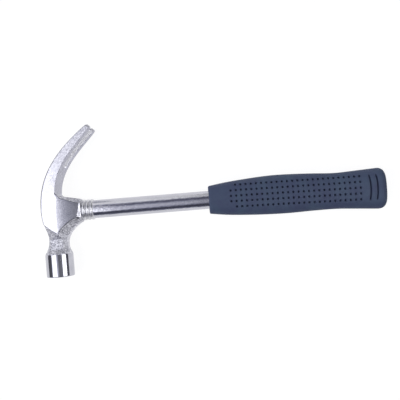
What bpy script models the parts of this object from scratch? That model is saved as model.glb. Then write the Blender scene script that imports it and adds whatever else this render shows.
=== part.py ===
"""Claw hammer: a forged, plated steel head on a tubular steel shaft with a moulded grip.

Hammer coordinates, before the final placing: X runs along the shaft from the head to the
butt, Y along the head from the striking face (-Y) to the claw (+Y), and Z = 0 is the middle
plane of the hammer. X = Y = 0 is where the poll's axis crosses the shaft's axis. An empty
then lays the hammer flat on its side, with the middle of its bounding box at X = Y = 0 and
its lowest point at Z = 0.
"""
import math

import bmesh
import bpy
from mathutils import Matrix, Vector

MM = 0.001
FIT_GAP = 0.3            # clearance between touching pieces, in millimetres

# ---- driving dimensions, in millimetres -------------------------------------------------
HALF_THICKNESS = 13.0    # poll radius, claw half width and butt half thickness are all equal
POLL_FACE_Y = -61.0      # striking face
POLL_SHOULDER_Y = -40.0  # where the turned poll meets the forged neck
POLL_RADIUS = HALF_THICKNESS
POLL_CHAMFER = 0.9
CLAW_TIP_Y = 79.3

TUBE_RADIUS = 8.63
TUBE_WALL = 1.5
BORE_FIT_RADIUS = TUBE_RADIUS - TUBE_WALL - FIT_GAP  # of the pieces inside the tube
TUBE_START_X = -10.6     # flush with the back of the head
TUBE_END_X = 298.5
BEAD_CENTRES_X = (27.9, 31.5, 35.1)
BEAD_RADIUS = 9.8        # outer radius of the rolled beads
BEAD_HALF_WIDTH = 1.6
BEAD_STEPS = 6           # chords across the outline of a bead

WEDGE_LENGTH = 10.0
WEDGE_TAPER = 0.8        # how much its radius shrinks along its length
DOWEL_END_X = 60.0

GRIP_START_X = 145.9
GRIP_END_X = 312.8
GRIP_BORE_END_X = 302.3
GRIP_SQUARENESS = 2.6    # exponent of the grip's superellipse section
GRIP_CHAMFER = 0.8       # chamfer round the grip's front edge
BUTT_ROUNDING = 7.0
BUTT_TURN = math.radians(82)     # how far the rounding turns before the flat butt end

# Half heights of the grip above and below the shaft's axis, and half its thickness, at
# distances along the shaft: narrow front, full palm swell, waist, flared butt.
GRIP_STATIONS = (
    (GRIP_START_X, 13.0, 13.3, 11.7),
    (163.0, 15.4, 15.7, 12.4),
    (186.0, 17.4, 17.5, 12.9),
    (205.0, 18.4, 18.4, HALF_THICKNESS),
    (222.0, 18.2, 18.7, HALF_THICKNESS),
    (243.0, 17.2, 18.3, 12.8),
    (266.0, 15.8, 18.4, 12.5),
    (286.0, 16.5, 19.8, 12.7),
    (302.0, 17.2, 21.1, HALF_THICKNESS),
    (GRIP_END_X, 17.7, 21.8, HALF_THICKNESS),
)

PLUG_STEM_LENGTH = 14.0
PLUG_FLANGE = 3.0
PLUG_TAPER = 0.3         # lead-in at the end of the plug's stem

CUT_MARGIN = 5.0         # how far a cutter starts outside the piece it cuts
SHARP_ANGLE = math.radians(30)   # edges sharper than this are shaded sharp
MERGE_DISTANCE = 0.00002         # in metres, closes the seam of a turned body

SOCKET_END_X = 24.8
SOCKET_LIP = 1.1         # how far the socket's faces reach past its end in the middle plane
SOCKET_LOW_Y, SOCKET_HIGH_Y = -6.6, 6.4      # sides of the socket's end face
SOCKET_END_Z = 9.3       # half thickness of the socket's end face
SOCKET_END_DROP = 0.6    # how much thinner its lower side is
RIM_LOW, RIM_HIGH = (21.6, -6.2), (24.6, 6.2)    # edge between the cheek facet and the end bevel
RIDGE_HEIGHT = 12.5      # height of the cheek ridge above the middle plane
RIDGE_X = 3.6            # cheek ridge where it crosses the shaft's axis
RIDGE_LEAN = 0.022       # sideways drift of the ridge per millimetre of Y
RIDGE_TOP_Y = 11.0       # where the ridge ends at the root of the claw
SOCKET_FALL = 0.050      # fall of the socket-side facet per millimetre, next to the ridge
SOCKET_CROWN = 0.0035    # its further fall per square millimetre away from the ridge
BACK_FALL = 0.145        # fall of the back facet per millimetre away from the ridge
FACET_INSET = 0.4        # height of the chamfer between the back facet and the back

# ---- half heights of the head's sections away from the facets ------------------------------
NECK_EDGE_Z = (4.2, 3.5)     # lowest chamfer edge, at the poll and at the waist of the neck
NECK_INNER_Z = (10.6, 8.3)   # edges of the flat top
NECK_TOP_Z = (12.5, 9.7)     # middle of the flat top
NECK_INSET = 0.17            # share of the neck's width taken by each upper chamfer
NECK_WAIST_T = 0.62          # where the neck's narrowest section lies on its back outline
NECK_SLIMMING = 1.8          # how early along the neck its waist is reached
NECK_DRIFT = 0.08            # sideways shift of its flat top, as a share of the width
THROAT_START = 0.4           # share of the throat that keeps the height of the neck
JUNCTION_WIDTH = 0.35        # half width of the flat top where it runs out
FILLET_AT_JUNCTION = 0.28    # where the socket's fillet passes the junction
CHEEK_BACK_T = (0.57, 0.66, 0.86, 0.88)      # stops on the cheek's back outline: cheek, end face
CHEEK_RIDGE_Y = (-12.0, -9.0, 1.0, 2.0)      # from low to high, and upper side of the socket
BACK_CHAMFER = 0.04          # share of the back facet taken by its chamfer
BAND_BACK_Z = (3.5, 4.2, 9.9)    # back edge at the waist, the junction and the cheek
BAND_FRONT_Z = (3.5, 4.0, 4.8)   # front edge at the waist, the junction and the socket
SOCKET_TOP_Z = (4.8, 5.6)    # edge of the socket's upper side, at its end and at the claw

# ---- outlines of the head in the middle plane, as cubic Bezier curves ---------------------
NECK_BACK = ((-12.2, -40.0), (-9.5, -35.5), (-7.4, -31.0), (-7.4, -24.0))
CHEEK_BACK = ((-7.4, -24.0), (-7.4, -16.0), (-11.2, -10.0), (-11.2, 2.0))
NECK_FRONT = ((12.4, -40.0), (10.9, -37.0), (9.8, -34.5), (9.8, -31.0))
SOCKET_FILLET = ((9.8, -31.0), (9.8, -21.4), (16.8, -14.8), (24.8, -10.7))
SOCKET_TOP = ((24.8, 10.8), (18.5, 12.1), (11.8, 13.6), (5.2, 15.0))
CLAW_CONVEX = ((-11.2, 2.0), (-11.6, 32.0), (5.6, 55.9), (38.3, CLAW_TIP_Y))
CLAW_CONCAVE = ((3.7, 15.0), (3.7, 41.0), (24.0, 57.6), (41.6, 76.7))

# Edges of the two large cheek facets, on the faces of the head.
JUNCTION = (3.3, -20.2)  # where the ridge and both lower facet edges meet
FACET_FRONT_EDGE = (JUNCTION, (7.6, -14.9), (14.8, -8.4), (21.6, -6.6))
FACET_BACK_EDGE = (JUNCTION, (-0.8, -18.4), (-5.2, -14.9), (-9.2, -11.2))
FACET_TOP_EDGE = ((24.6, 6.4), (19.5, 8.2), (14.0, 10.1), (8.4, 12.2))

CORNERS_PER_HALF = 7     # corner points of half a head section, middle plane to middle plane

CLAW_START_T = 0.03      # first section of the claw, as a fraction of its curves
CLAW_CONVEX_Z = (10.4, 12.4)     # half width along the convex side, at the root and at the tips
CLAW_CONCAVE_Z = (12.3, HALF_THICKNESS)
CLAW_EDGE = 0.5          # chamfer along all the claw's edges
CLAW_BACK_CHAMFER = 0.07         # shares of the claw's thickness where its side faces begin,
CLAW_FRONT_CHAMFER = (0.925, 0.86)   # and where they end, at the root and at the tips
CLAW_RIM = 0.97
TIP_ROUNDING = 1.0       # rounding of the claw's tips
TIP_INSET = 0.12         # share of the thickness taken by the rounding
TIP_SETBACK = 3.2        # how far the corners of a tip lie behind its middle
TIP_TAPER = 7.0          # length over which a prong narrows to its round tip
PRONG_CENTRE_Z = 9.4
PRONG_HALF_WIDTH = 4.2

SLOT_ROOT = 0.385        # where the nail slot starts, as a fraction of the claw curves
SLOT_END = 1.06          # beyond the tips
SLOT_NARROW_Z = (1.2, 3.3)       # half width on the convex side, at its root and at the tips
SLOT_WIDE_Z = (4.6, 6.4)         # half width on the concave side
SLOT_BEVEL_DEPTH = 0.55  # share of the claw's thickness taken by the slot's bevel
SLOT_BEYOND = 0.8        # how far the cutter reaches out on the convex side, in thicknesses
SLOT_FLARE = 2.0         # extra half width at the tips
SLOT_FLARE_START = 0.86  # where the flare starts, as a fraction of the slot


def bezier(curve, t):
    """Point of a cubic Bezier curve at parameter t."""
    weights = ((1 - t) ** 3, 3 * (1 - t) ** 2 * t, 3 * (1 - t) * t * t, t ** 3)
    return Vector([sum(w * p[axis] for w, p in zip(weights, curve)) for axis in (0, 1)])


def mix(a, b, t):
    return a + (b - a) * t


def ease(t):
    """Smooth step from 0 to 1."""
    t = min(max(t, 0.0), 1.0)
    return t * t * (3 - 2 * t)


def ridge_point(y):
    return Vector((RIDGE_X + RIDGE_LEAN * y, y))


def facet_height(point):
    """Height of the cheek facets: a plane behind the ridge, a slightly crowned face before it."""
    offset = point.x - ridge_point(point.y).x
    if offset < 0:
        return RIDGE_HEIGHT + BACK_FALL * offset
    return RIDGE_HEIGHT - SOCKET_FALL * offset - SOCKET_CROWN * offset * offset


# ---- head sections ------------------------------------------------------------------------
# A section is a list of (point in the plane, height) corners of its upper half, from the back
# outline to the front outline. The lower half is its mirror image.
def section(back, back_z, inner_back, ridge, inner_front, front, front_z):
    """Corners of half a section; each inner corner is a (point, height) pair."""
    return [(back, 0.0), (back, back_z), inner_back, ridge, inner_front, (front, front_z), (front, 0.0)]


def poll_section(y, radius, splits):
    """Round section of the poll, with as many points as a subdivided polygonal one."""
    steps = (CORNERS_PER_HALF - 1) * splits
    points = []
    for i in range(steps + 1):
        angle = math.pi * (1 - i / steps)
        points.append((Vector((radius * math.cos(angle), y)), radius * math.sin(angle)))
    return points


def subdivide(corners, splits):
    points = []
    for (p, zp), (q, zq) in zip(corners, corners[1:]):
        points += [(mix(p, q, i / splits), mix(zp, zq, i / splits)) for i in range(splits)]
    return points + [corners[-1]]


def on_facet(point):
    return (point, facet_height(point))


def neck_sections(count):
    """Eight-sided neck, from the poll's shoulder up to where the cheeks begin to swell."""
    sections = []
    for i in range(count + 1):
        s = i / count
        back = bezier(NECK_BACK, NECK_WAIST_T * s)
        front = bezier(NECK_FRONT, s)
        back.y = front.y
        slimming = ease(NECK_SLIMMING * s)
        edge_z, inner_z, top_z = (mix(*heights, slimming)
                                  for heights in (NECK_EDGE_Z, NECK_INNER_Z, NECK_TOP_Z))
        middle = mix(back, front, 0.5 + NECK_DRIFT * s)
        sections.append(section(back, edge_z, (mix(back, front, NECK_INSET), inner_z), (middle, top_z),
                                (mix(front, back, NECK_INSET), inner_z), front, edge_z))
    return sections


def throat_sections(count):
    """From the neck to the junction, where the flat top of the neck runs up into a point."""
    neck = neck_sections(1)[-1]
    junction = Vector(JUNCTION)
    sections = []
    for i in range(1, count + 1):
        s = i / count
        swell = ease((s - THROAT_START) / (1 - THROAT_START))
        back = bezier(NECK_BACK, mix(NECK_WAIST_T, 1.0, s))
        front = bezier(SOCKET_FILLET, FILLET_AT_JUNCTION * s)
        inner = []
        for corner, shift in ((2, -JUNCTION_WIDTH), (3, 0.0), (4, JUNCTION_WIDTH)):
            start, start_z = neck[corner]
            end = junction + Vector((shift, -abs(shift) / 2))
            point = Vector((mix(start.x, end.x, swell), mix(start.y, end.y, s)))
            inner.append((point, mix(start_z, facet_height(junction), swell)))
        sections.append(section(back, mix(*BAND_BACK_Z[:2], s), *inner, front, mix(*BAND_FRONT_Z[:2], s)))
    return sections


def cheek_sections(count):
    """The lower edges of both facets spread out from the junction to the back and the socket."""
    sections = []
    for i in range(1, count + 1):
        s = i / count
        back = bezier(CHEEK_BACK, CHEEK_BACK_T[0] * s)
        front = bezier(SOCKET_FILLET, mix(FILLET_AT_JUNCTION, 1.0, s))
        ridge = ridge_point(mix(JUNCTION[1], CHEEK_RIDGE_Y[0], s))
        sections.append(section(back, mix(*BAND_BACK_Z[1:], s), on_facet(bezier(FACET_BACK_EDGE, s)),
                                on_facet(ridge), on_facet(bezier(FACET_FRONT_EDGE, s)),
                                front, mix(*BAND_FRONT_Z[1:], s)))
    return sections


def across_cheeks(back_t, ridge_y, rim, front, front_z):
    """Section over both facets, from the back outline to an edge on the socket's side."""
    back = bezier(CHEEK_BACK, back_t)
    inner_back = mix(back, ridge_point(ridge_y), BACK_CHAMFER)
    return section(back, facet_height(back) - FACET_INSET, on_facet(inner_back),
                   on_facet(ridge_point(ridge_y)), on_facet(rim), front, front_z)


def socket_sections(end_count, top_count):
    """The end face of the socket, then its upper side back to the root of the claw."""
    sections = []
    for i in range(end_count + 1):
        s = i / end_count
        y = mix(SOCKET_LOW_Y, SOCKET_HIGH_Y, s)
        front_z = SOCKET_END_Z - SOCKET_END_DROP * ease(1 - 2 * s)
        end_face = across_cheeks(mix(*CHEEK_BACK_T[1:3], s), mix(*CHEEK_RIDGE_Y[1:3], s),
                                 mix(Vector(RIM_LOW), Vector(RIM_HIGH), s),
                                 Vector((SOCKET_END_X + SOCKET_LIP, y)), front_z)
        end_face[-1] = (Vector((SOCKET_END_X, y)), 0.0)
        sections.append(end_face)
    for i in range(top_count + 1):
        s = i / top_count
        sections.append(across_cheeks(mix(CHEEK_BACK_T[3], 1.0, s), mix(CHEEK_RIDGE_Y[3], RIDGE_TOP_Y, s),
                                      bezier(FACET_TOP_EDGE, s), bezier(SOCKET_TOP, s),
                                      mix(*SOCKET_TOP_Z, s)))
    return sections


def claw_sections(count):
    """The claw's sections from its root to its tips, the last one drawn in to round the tips."""
    sections = []
    for i in range(count + 1):
        t = mix(CLAW_START_T, 1.0, i / count)
        convex, concave = bezier(CLAW_CONVEX, t), bezier(CLAW_CONCAVE, t)
        convex_z = mix(*CLAW_CONVEX_Z, ease(t))
        concave_z = mix(*CLAW_CONCAVE_Z, t * t)
        if i == count:
            convex, concave = mix(convex, concave, TIP_INSET), mix(concave, convex, TIP_INSET)
            convex_z -= TIP_ROUNDING
            concave_z -= TIP_ROUNDING

        def side_at(share):
            return (mix(convex, concave, share), mix(convex_z, concave_z, share))
        sections.append(section(convex, convex_z - CLAW_EDGE, side_at(CLAW_BACK_CHAMFER),
                                side_at(mix(*CLAW_FRONT_CHAMFER, t)), side_at(CLAW_RIM),
                                concave, concave_z - CLAW_EDGE))
    return sections


def ring_of(corners):
    """Closed ring of 3D points from the upper half of a section."""
    upper = [Vector((p.x, p.y, z)) for p, z in corners]
    lower = [Vector((p.x, p.y, -z)) for p, z in reversed(corners[1:-1])]
    return upper + lower


def head_rings(splits=3, neck=5, throat=5, cheek=8, socket_end=2, socket_top=4, claw=20):
    corners = [poll_section(POLL_FACE_Y, POLL_RADIUS - POLL_CHAMFER, splits),
               poll_section(POLL_FACE_Y + POLL_CHAMFER, POLL_RADIUS, splits),
               poll_section(POLL_SHOULDER_Y, POLL_RADIUS, splits)]
    shaped = (neck_sections(neck) + throat_sections(throat) + cheek_sections(cheek)
              + socket_sections(socket_end, socket_top) + claw_sections(claw))
    corners += [subdivide(half, splits) for half in shaped]
    return [ring_of(half) for half in corners]


def slot_rings(count=12):
    """Tapered nail slot whose edges are bevelled on the concave side of the claw."""
    outward = SLOT_BEYOND / 2
    rings = []
    for i in range(count + 1):
        t = mix(SLOT_ROOT, SLOT_END, i / count)
        convex, concave = bezier(CLAW_CONVEX, t), bezier(CLAW_CONCAVE, t)
        along = (t - SLOT_ROOT) / (1 - SLOT_ROOT)
        flare = SLOT_FLARE * ease((along - SLOT_FLARE_START) / (1 - SLOT_FLARE_START))
        narrow = mix(*SLOT_NARROW_Z, along) + flare
        wide = mix(*SLOT_WIDE_Z, along) + flare / 2
        outer = wide + (wide - narrow) * outward / SLOT_BEVEL_DEPTH
        corners = [(mix(convex, concave, -SLOT_BEYOND), narrow),
                   (mix(concave, convex, SLOT_BEVEL_DEPTH), narrow),
                   (mix(concave, convex, -outward), outer)]
        upper = [Vector((p.x, p.y, z)) for p, z in corners]
        lower = [Vector((p.x, p.y, -z)) for p, z in reversed(corners)]
        rings.append(upper + lower)
    return rings


def round_tips(mesh):
    """Draws the corners of both claw tips back along the claw, so that each ends round."""
    tip = mix(bezier(CLAW_CONVEX, 1.0), bezier(CLAW_CONCAVE, 1.0), 0.5)
    before = mix(bezier(CLAW_CONVEX, SLOT_FLARE_START), bezier(CLAW_CONCAVE, SLOT_FLARE_START), 0.5)
    forward = (tip - before).normalized()
    for vertex in mesh.vertices:
        ahead = (Vector((vertex.co.x, vertex.co.y)) - tip).dot(forward)
        if vertex.co.y > SOCKET_HIGH_Y and ahead > -TIP_TAPER:
            off_centre = min(abs(abs(vertex.co.z) - PRONG_CENTRE_Z) / PRONG_HALF_WIDTH, 1.0)
            pull = TIP_SETBACK * (1 - math.sqrt(1 - off_centre ** 2)) * ease(1 + ahead / TIP_TAPER)
            vertex.co -= Vector((*forward, 0.0)) * pull


# ---- mesh helpers ---------------------------------------------------------------------------
def new_collection(name):
    collection = bpy.data.collections.new(name)
    bpy.context.scene.collection.children.link(collection)
    return collection


def material(name, color, roughness, metallic):
    result = bpy.data.materials.new(name)
    result.use_nodes = True
    shader = result.node_tree.nodes["Principled BSDF"]
    shader.inputs["Base Color"].default_value = (*color, 1.0)
    shader.inputs["Roughness"].default_value = roughness
    shader.inputs["Metallic"].default_value = metallic
    return result


def add_object(name, mesh, collection, finish=None):
    """Object from a mesh in millimetres; the mesh is scaled to metres."""
    mesh.transform(Matrix.Scale(MM, 4))
    mesh.shade_smooth()
    mesh.set_sharp_from_angle(angle=SHARP_ANGLE)
    if finish:
        mesh.materials.append(finish)
    result = bpy.data.objects.new(name, mesh)
    collection.objects.link(result)
    return result


def loft_mesh(name, rings):
    """Closed body through rings that all have the same number of points."""
    bm = bmesh.new()
    loops = [[bm.verts.new(point) for point in ring] for ring in rings]
    for ring, following in zip(loops, loops[1:]):
        size = len(ring)
        for i in range(size):
            j = (i + 1) % size
            bm.faces.new((ring[i], ring[j], following[j], following[i]))
    for ring in (loops[0], loops[-1]):
        centre = bm.verts.new(sum((vert.co for vert in ring), Vector()) / len(ring))
        for first, second in zip(ring, ring[1:] + ring[:1]):
            bm.faces.new((first, second, centre))
    bmesh.ops.triangulate(bm, faces=bm.faces)
    bmesh.ops.recalc_face_normals(bm, faces=bm.faces)
    mesh = bpy.data.meshes.new(name)
    bm.to_mesh(mesh)
    bm.free()
    return mesh


def rod_mesh(name, start_x, end_x, radius, taper=0.0, segments=48):
    """Solid rod along X whose radius shrinks by the taper."""
    bm = bmesh.new()
    bmesh.ops.create_cone(bm, cap_ends=True, segments=segments, radius1=radius,
                          radius2=radius - taper, depth=end_x - start_x)
    turn = Vector((0, 0, 1)).rotation_difference(Vector((1, 0, 0))).to_matrix()
    bmesh.ops.rotate(bm, verts=bm.verts, cent=(0, 0, 0), matrix=turn)
    bmesh.ops.translate(bm, verts=bm.verts, vec=((start_x + end_x) / 2, 0, 0))
    mesh = bpy.data.meshes.new(name)
    bm.to_mesh(mesh)
    bm.free()
    return mesh


def turned_object(name, profile, collection, finish, segments=40):
    """Body turned about the shaft's axis from (x, radius) points, outer side first.

    A profile that starts and ends on the axis is left open there; any other one is a loop.
    """
    bm = bmesh.new()
    verts = [bm.verts.new((radius, 0, x)) for x, radius in profile]
    closing = [] if profile[0][1] == 0 else verts[:1]
    for first, second in zip(verts, verts[1:] + closing):
        bm.edges.new((first, second))
    mesh = bpy.data.meshes.new(name)
    bm.to_mesh(mesh)
    bm.free()
    result = add_object(name, mesh, collection, finish)
    screw = result.modifiers.new("Turn", "SCREW")
    screw.axis = "Z"
    screw.steps = segments
    screw.render_steps = segments
    screw.use_merge_vertices = True
    screw.merge_threshold = MERGE_DISTANCE
    screw.use_smooth_shade = True
    result.rotation_euler = (0, math.radians(90), 0)
    return result


def cut(target, cutter):
    cutter.hide_render = True
    cutter.display_type = "WIRE"
    boolean = target.modifiers.new("Cut " + cutter.name, "BOOLEAN")
    boolean.operation = "DIFFERENCE"
    boolean.object = cutter
    boolean.solver = "EXACT"


# ---- pieces -----------------------------------------------------------------------------------
def make_head(parts, cutters, finish):
    mesh = loft_mesh("head", head_rings())
    round_tips(mesh)
    head = add_object("head", mesh, parts, finish)
    slot = loft_mesh("cut_nail_slot", slot_rings())
    eye = rod_mesh("cut_eye", TUBE_START_X - CUT_MARGIN, SOCKET_END_X + CUT_MARGIN, TUBE_RADIUS + FIT_GAP)
    cut(head, add_object("cut_nail_slot", slot, cutters))
    cut(head, add_object("cut_eye", eye, cutters))
    return head


def tube_profile():
    """Outer side from the butt end to the head, then the bore back again."""
    outer = [(TUBE_END_X, TUBE_RADIUS)]
    for centre in reversed(BEAD_CENTRES_X):
        for i in range(BEAD_STEPS + 1):
            angle = math.pi * i / BEAD_STEPS
            swell = (BEAD_RADIUS - TUBE_RADIUS) * math.sin(angle)
            outer.append((centre + BEAD_HALF_WIDTH * math.cos(angle), TUBE_RADIUS + swell))
    outer.append((TUBE_START_X, TUBE_RADIUS))
    bore = TUBE_RADIUS - TUBE_WALL
    return outer + [(TUBE_START_X, bore), (TUBE_END_X, bore)]


def make_shaft(parts, finish):
    return turned_object("shaft_tube", tube_profile(), parts, finish)


def make_eye_wedge(parts, finish):
    mesh = rod_mesh("eye_wedge", TUBE_START_X, TUBE_START_X + WEDGE_LENGTH, BORE_FIT_RADIUS, WEDGE_TAPER)
    return add_object("eye_wedge", mesh, parts, finish)


def make_core_dowel(parts, finish):
    start = TUBE_START_X + WEDGE_LENGTH + FIT_GAP
    mesh = rod_mesh("core_dowel", start, DOWEL_END_X, BORE_FIT_RADIUS)
    return add_object("core_dowel", mesh, parts, finish)


def make_butt_plug(parts, finish):
    flange_start = TUBE_END_X + FIT_GAP
    flange_end = flange_start + PLUG_FLANGE
    stem_start = TUBE_END_X - PLUG_STEM_LENGTH
    profile = [(flange_end, 0.0), (flange_end, TUBE_RADIUS), (flange_start, TUBE_RADIUS),
               (flange_start, BORE_FIT_RADIUS), (stem_start, BORE_FIT_RADIUS - PLUG_TAPER),
               (stem_start, 0.0)]
    return turned_object("butt_plug", profile, parts, finish)


def grip_size(x):
    """Smooth curve through the grip's stations: half heights (up, down) and half thickness."""
    spans = list(zip(GRIP_STATIONS, GRIP_STATIONS[1:]))
    index = next((i for i, (a, b) in enumerate(spans) if x <= b[0]), len(spans) - 1)
    before = GRIP_STATIONS[max(index - 1, 0)]
    start, end = spans[index]
    after = GRIP_STATIONS[min(index + 2, len(GRIP_STATIONS) - 1)]
    t = (x - start[0]) / (end[0] - start[0])
    size = []
    for k in (1, 2, 3):
        slope_in = (end[k] - before[k]) / (end[0] - before[0]) * (end[0] - start[0])
        slope_out = (after[k] - start[k]) / (after[0] - start[0]) * (end[0] - start[0])
        size.append((2 * t ** 3 - 3 * t ** 2 + 1) * start[k] + (t ** 3 - 2 * t ** 2 + t) * slope_in
                    + (3 * t ** 2 - 2 * t ** 3) * end[k] + (t ** 3 - t ** 2) * slope_out)
    return size


def grip_ring(x, inset, points):
    up, down, thick = (value - inset for value in grip_size(x))
    ring = []
    for i in range(points):
        angle = 2 * math.pi * i / points
        side, rise = math.cos(angle), math.sin(angle)
        power = 2 / GRIP_SQUARENESS
        y = math.copysign(abs(rise) ** power, rise) * (up if rise > 0 else down)
        z = math.copysign(abs(side) ** power, side) * thick
        ring.append(Vector((x, y, z)))
    return ring


def grip_rings(points=40, along=20, rounding_steps=5):
    body_start = GRIP_START_X + GRIP_CHAMFER
    body_end = GRIP_END_X - BUTT_ROUNDING
    rings = [grip_ring(GRIP_START_X, GRIP_CHAMFER, points)]
    for i in range(along + 1):
        rings.append(grip_ring(mix(body_start, body_end, i / along), 0.0, points))
    for i in range(1, rounding_steps + 1):
        angle = BUTT_TURN * i / rounding_steps
        inset = BUTT_ROUNDING * (1 - math.cos(angle))
        x = body_end + BUTT_ROUNDING * math.sin(angle) / math.sin(BUTT_TURN)
        rings.append(grip_ring(x, inset, points))
    return rings


def make_grip(parts, cutters, finish):
    grip = add_object("grip", loft_mesh("grip", grip_rings()), parts, finish)
    bore = rod_mesh("cut_grip_bore", GRIP_START_X - CUT_MARGIN, GRIP_BORE_END_X, TUBE_RADIUS + FIT_GAP)
    cut(grip, add_object("cut_grip_bore", bore, cutters))
    return grip


def clear_scene():
    for old in list(bpy.data.objects):
        bpy.data.objects.remove(old)


def main():
    clear_scene()
    parts = new_collection("claw_hammer")
    cutters = new_collection("cutters")
    plating = material("plated_forging", (0.62, 0.63, 0.67), 0.30, 1.0)
    tube_steel = material("plated_tube", (0.60, 0.61, 0.66), 0.22, 1.0)
    wedge_steel = material("wedge_steel", (0.45, 0.45, 0.47), 0.40, 1.0)
    hardwood = material("hardwood", (0.48, 0.30, 0.15), 0.70, 0.0)
    grip_rubber = material("grip_rubber", (0.055, 0.070, 0.125), 0.55, 0.0)
    plug_plastic = material("plug_plastic", (0.03, 0.03, 0.035), 0.50, 0.0)
    pieces = [make_head(parts, cutters, plating), make_shaft(parts, tube_steel),
              make_eye_wedge(parts, wedge_steel), make_core_dowel(parts, hardwood),
              make_grip(parts, cutters, grip_rubber), make_butt_plug(parts, plug_plastic)]
    frame = bpy.data.objects.new("hammer_frame", None)
    parts.objects.link(frame)
    middle = (-(GRIP_END_X - POLL_RADIUS) / 2, -(CLAW_TIP_Y + POLL_FACE_Y) / 2, HALF_THICKNESS)
    frame.location = Vector(middle) * MM
    for piece in pieces + list(cutters.objects):
        piece.parent = frame


main()
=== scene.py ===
"""Claw hammer lying on its side: fine meshes, materials, studio light and camera.

Shapes are described in hammer coordinates, in millimetres: X runs along the shaft from the head
to the butt, Y along the head from the striking face (-Y) to the claw (+Y), and Z = 0 is the
middle plane. X = Y = 0 is where the poll's axis crosses the shaft's axis.
"""
import math

import bmesh
import bpy
from mathutils import Matrix, Vector


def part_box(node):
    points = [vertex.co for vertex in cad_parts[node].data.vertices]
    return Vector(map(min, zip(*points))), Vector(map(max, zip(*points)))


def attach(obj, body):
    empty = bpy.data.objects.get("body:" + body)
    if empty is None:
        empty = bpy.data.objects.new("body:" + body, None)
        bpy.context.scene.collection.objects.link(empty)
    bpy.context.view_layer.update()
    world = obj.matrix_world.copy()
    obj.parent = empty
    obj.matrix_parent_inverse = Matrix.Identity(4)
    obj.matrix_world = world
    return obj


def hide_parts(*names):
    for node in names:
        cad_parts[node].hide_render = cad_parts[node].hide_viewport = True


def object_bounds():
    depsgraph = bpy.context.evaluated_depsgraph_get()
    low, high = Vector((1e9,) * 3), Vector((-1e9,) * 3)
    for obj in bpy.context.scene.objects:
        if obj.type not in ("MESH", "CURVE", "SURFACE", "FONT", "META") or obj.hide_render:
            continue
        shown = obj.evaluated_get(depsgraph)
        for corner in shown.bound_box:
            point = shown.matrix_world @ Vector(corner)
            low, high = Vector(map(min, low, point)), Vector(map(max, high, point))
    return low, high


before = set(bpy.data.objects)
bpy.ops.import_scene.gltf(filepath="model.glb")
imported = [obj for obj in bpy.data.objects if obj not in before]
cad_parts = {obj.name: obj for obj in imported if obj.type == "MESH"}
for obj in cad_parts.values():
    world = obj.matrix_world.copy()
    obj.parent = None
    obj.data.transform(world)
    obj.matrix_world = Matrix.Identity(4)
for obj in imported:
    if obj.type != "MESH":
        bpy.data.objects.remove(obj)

cad_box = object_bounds()

MM = 0.001
FIT_GAP = 0.3            # clearance between touching pieces, in millimetres

# ---- driving dimensions, in millimetres --------
HEAD_LOW, HEAD_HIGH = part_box("head")
TUBE_LOW, TUBE_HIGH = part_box("shaft_tube")
GRIP_LOW, GRIP_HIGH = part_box("grip")
POLL_RADIUS = (HEAD_HIGH.z - HEAD_LOW.z) / MM / 2
POLL_FACE_Y = -61.0      # striking face
ORIGIN = Vector((HEAD_LOW.x + POLL_RADIUS * MM, HEAD_LOW.y - POLL_FACE_Y * MM,
                 (TUBE_LOW.z + TUBE_HIGH.z) / 2))
POLL_SHOULDER_Y = -40.0  # where the turned poll meets the forged neck
POLL_CHAMFER = 0.9
CLAW_TIP_Y = 79.3

TUBE_RADIUS = 8.63
TUBE_WALL = 1.5
TUBE_START_X = (TUBE_LOW.x - ORIGIN.x) / MM
TUBE_END_X = (TUBE_HIGH.x - ORIGIN.x) / MM
BEAD_CENTRES_X = (27.9, 31.5, 35.1)
BEAD_RADIUS = (TUBE_HIGH.z - TUBE_LOW.z) / MM / 2
BEAD_HALF_WIDTH = 1.6
BEAD_STEPS = 14          # chords across the outline of a bead
BEAD_MARGIN = 0.6        # length of tube beyond the last bead that keeps the finish of the beads

GRIP_START_X = (GRIP_LOW.x - ORIGIN.x) / MM
GRIP_END_X = (GRIP_HIGH.x - ORIGIN.x) / MM
GRIP_BORE_END_X = (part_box("butt_plug")[1].x - ORIGIN.x) / MM + FIT_GAP
GRIP_SQUARENESS = 2.6    # exponent of the grip's superellipse section

SOCKET_END_X = 24.8
SOCKET_LIP = 1.1         # how far the socket's faces reach past its end in the middle plane
SOCKET_LOW_Y, SOCKET_HIGH_Y = -6.6, 6.4      # sides of the socket's end face
SOCKET_END_Z = 9.3       # half thickness of the socket's end face
SOCKET_END_DROP = 0.6    # how much thinner its lower side is
RIM_LOW, RIM_HIGH = Vector((21.6, -6.2)), Vector((24.6, 6.2))    # from cheek facet to end bevel
RIDGE_HEIGHT = 12.5      # height of the cheek ridge above the middle plane
RIDGE_X = 3.6            # cheek ridge where it crosses the shaft's axis
RIDGE_LEAN = 0.022       # sideways drift of the ridge per millimetre of Y
RIDGE_TOP_Y = 11.0       # where the ridge ends at the root of the claw
SOCKET_FALL = 0.050      # fall of the socket-side facet per millimetre, next to the ridge
SOCKET_CROWN = 0.0035    # its further fall per square millimetre away from the ridge
BACK_FALL = 0.145        # fall of the back facet per millimetre away from the ridge
FACET_INSET = 0.4        # height of the chamfer between the back facet and the back

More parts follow.
